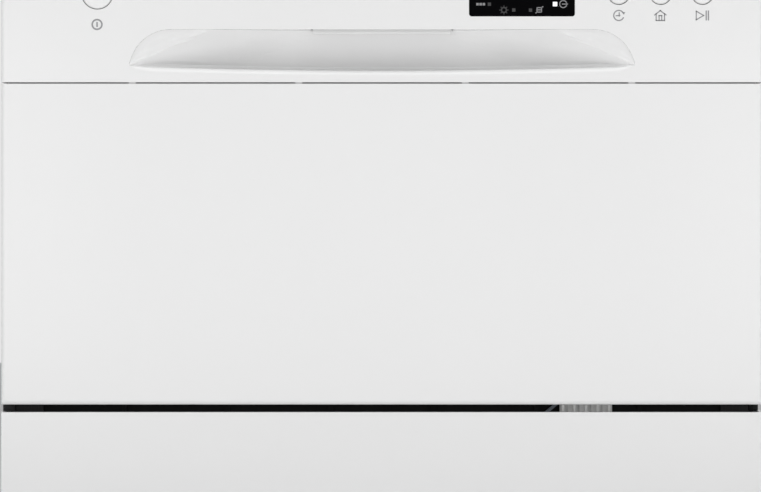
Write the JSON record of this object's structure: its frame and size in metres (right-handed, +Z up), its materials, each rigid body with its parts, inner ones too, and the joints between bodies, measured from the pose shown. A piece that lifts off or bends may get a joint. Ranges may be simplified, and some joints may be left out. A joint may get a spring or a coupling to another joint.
{
  "type": "countertop dishwasher",
  "caption": "White front-loading countertop dishwasher with drop-down door, moulded handle scoop, button panel, wire rack on wheels and spray arm.",
  "frame": {"origin": "on the counter under the middle of the machine", "axes": "+X to the right seen from the front, +Y to the rear, +Z up; the door faces -Y"},
  "size_m": [0.55, 0.5002, 0.438],
  "materials": {
    "white_plastic": "white plastic",
    "white_steel": "white steel",
    "grey_steel": "grey steel",
    "stainless": "stainless",
    "zinc_steel": "zinc steel",
    "black_plastic": "black plastic",
    "grey_plastic": "grey plastic",
    "pale_plastic": "pale plastic",
    "smoke_plastic": "smoke plastic",
    "blue_plastic": "blue plastic",
    "rubber": "rubber",
    "button_plastic": "button plastic",
    "display_black": "display black",
    "board_green": "board green",
    "coated_wire": "coated wire",
    "wheel_plastic": "wheel plastic"
  },
  "bodies": {
    "cabinet": {"base_tray": "black_plastic", "plinth_panel": "white_plastic", "outer_casing": "white_steel", "rear_panel": "grey_steel", "tub": "stainless", "tub_base": "stainless", "tub_seal": "rubber", "front_frame": "white_steel", "rack_rail_left": "stainless", "rack_rail_right": "stainless", "hinge_bracket_left": "zinc_steel", "hinge_bracket_right": "zinc_steel", "door_spring_left": "zinc_steel", "door_spring_right": "zinc_steel", "sump": "grey_plastic", "spray_hub": "grey_plastic", "wash_pump": "black_plastic", "drain_pump": "pale_plastic", "heater": "stainless", "water_softener": "pale_plastic", "inlet_valve": "pale_plastic", "drain_outlet": "black_plastic", "power_inlet": "black_plastic", "harness_guide": "pale_plastic", "latch_strike": "zinc_steel", "rear_feet": "rubber"},
    "door": {"door_outer_panel": "white_steel", "control_fascia": "white_plastic", "handle_scoop": "white_plastic", "door_inner_panel": "stainless", "hinge_arm_left": "zinc_steel", "hinge_arm_right": "zinc_steel", "dispenser_body": "pale_plastic", "display_window": "display_black", "control_board": "board_green", "door_lock": "black_plastic"},
    "rack": {"rack_floor": "coated_wire", "rack_rim": "coated_wire", "rack_side_left": "coated_wire", "rack_side_right": "coated_wire", "rack_ends": "coated_wire", "rack_tines": "coated_wire"},
    "power_button": {"power_button": "button_plastic"},
    "delay_button": {"delay_button": "button_plastic"},
    "program_button": {"program_button": "button_plastic"},
    "start_button": {"start_button": "button_plastic"},
    "release_lever": {"release_lever": "white_plastic"},
    "latch_hook": {"latch_hook": "grey_plastic"},
    "dispenser_lid": {"dispenser_lid": "smoke_plastic"},
    "rinse_aid_cap": {"rinse_aid_cap": "blue_plastic"},
    "rack_wheels_front": {"rack_wheels_front": "wheel_plastic"},
    "rack_wheels_rear": {"rack_wheels_rear": "wheel_plastic"},
    "cup_shelf": {"cup_shelf": "smoke_plastic"},
    "cutlery_basket": {"cutlery_basket": "smoke_plastic"},
    "spray_arm": {"spray_arm": "stainless"},
    "filter_cup": {"filter_cup": "grey_plastic"},
    "salt_cap": {"salt_cap": "blue_plastic"},
    "float_cap": {"float_cap": "pale_plastic"},
    "front_foot_left": {"front_foot_left": "rubber"},
    "front_foot_right": {"front_foot_right": "rubber"}
  },
  "joints": [
    {"name": "door_hinge", "type": "hinge", "parent": "cabinet", "child": "door", "pos_m": [0, -0.24, 0.1085], "axis": [1, 0, 0], "range_deg": [0, 90], "deforming": ["door_spring_left", "door_spring_right"]},
    {"name": "rack_slide", "type": "slide", "parent": "cabinet", "child": "rack", "axis": [0, -1, 0], "range_m": [0, 0.158]},
    {"name": "front_wheels_turn", "type": "hinge", "parent": "rack", "child": "rack_wheels_front", "pos_m": [0, -0.066, 0.1538], "axis": [1, 0, 0], "continuous": true},
    {"name": "rear_wheels_turn", "type": "hinge", "parent": "rack", "child": "rack_wheels_rear", "pos_m": [0, 0.134, 0.1538], "axis": [1, 0, 0], "continuous": true},
    {"name": "cup_shelf_fold", "type": "hinge", "parent": "rack", "child": "cup_shelf", "pos_m": [-0.212, 0, 0.2556], "axis": [0, -1, 0], "range_deg": [0, 95]},
    {"name": "cutlery_basket_lift", "type": "slide", "parent": "rack", "child": "cutlery_basket", "axis": [0, 0, 1], "range_m": [0, 0.1]},
    {"name": "spray_arm_spin", "type": "hinge", "parent": "cabinet", "child": "spray_arm", "pos_m": [0, 0.0055, 0.1585], "axis": [0, 0, 1], "continuous": true},
    {"name": "filter_cup_turn", "type": "hinge", "parent": "cabinet", "child": "filter_cup", "pos_m": [0.096, -0.096, 0.132], "axis": [0, 0, 1], "range_deg": [0, 60]},
    {"name": "salt_cap_turn", "type": "hinge", "parent": "cabinet", "child": "salt_cap", "pos_m": [-0.12, -0.096, 0.132], "axis": [0, 0, 1], "continuous": true},
    {"name": "float_rise", "type": "slide", "parent": "cabinet", "child": "float_cap", "axis": [0, 0, 1], "range_m": [0, 0.008]},
    {"name": "front_foot_left_screw", "type": "hinge", "parent": "cabinet", "child": "front_foot_left", "pos_m": [-0.233, -0.162, 0], "axis": [0, 0, 1], "continuous": true},
    {"name": "front_foot_right_screw", "type": "hinge", "parent": "cabinet", "child": "front_foot_right", "pos_m": [0.233, -0.162, 0], "axis": [0, 0, 1], "continuous": true},
    {"name": "power_press", "type": "slide", "parent": "door", "child": "power_button", "axis": [0, 1, 0], "range_m": [0, 0.0015], "stiffness_N_per_m": 500},
    {"name": "delay_press", "type": "slide", "parent": "door", "child": "delay_button", "axis": [0, 1, 0], "range_m": [0, 0.0015], "stiffness_N_per_m": 500},
    {"name": "program_press", "type": "slide", "parent": "door", "child": "program_button", "axis": [0, 1, 0], "range_m": [0, 0.0015], "stiffness_N_per_m": 500},
    {"name": "start_press", "type": "slide", "parent": "door", "child": "start_button", "axis": [0, 1, 0], "range_m": [0, 0.0015], "stiffness_N_per_m": 500},
    {"name": "release_lever_pull", "type": "hinge", "parent": "door", "child": "release_lever", "pos_m": [0, -0.239, 0.3903], "axis": [-1, 0, 0], "range_deg": [-5.5, 8], "stiffness_Nm_per_rad": 0.5},
    {"name": "latch_hook_turn", "type": "hinge", "parent": "door", "child": "latch_hook", "pos_m": [0, -0.232, 0.42], "axis": [-1, 0, 0], "range_deg": [-8.25, 12]},
    {"name": "dispenser_lid_open", "type": "hinge", "parent": "door", "child": "dispenser_lid", "pos_m": [0, -0.2108, 0.2656], "axis": [-1, 0, 0], "range_deg": [0, 90]},
    {"name": "rinse_aid_cap_turn", "type": "hinge", "parent": "door", "child": "rinse_aid_cap", "pos_m": [0.038, -0.209, 0.2882], "axis": [0, 1, 0], "range_deg": [0, 90]}
  ],
  "couplings": [
    {"joint": "rack_slide", "follows": "door_hinge", "m_per_rad": 0.1},
    {"joint": "front_wheels_turn", "follows": "door_hinge", "ratio": 8},
    {"joint": "rear_wheels_turn", "follows": "door_hinge", "ratio": 8},
    {"joint": "latch_hook_turn", "follows": "release_lever_pull", "ratio": 1.5}
  ]
}
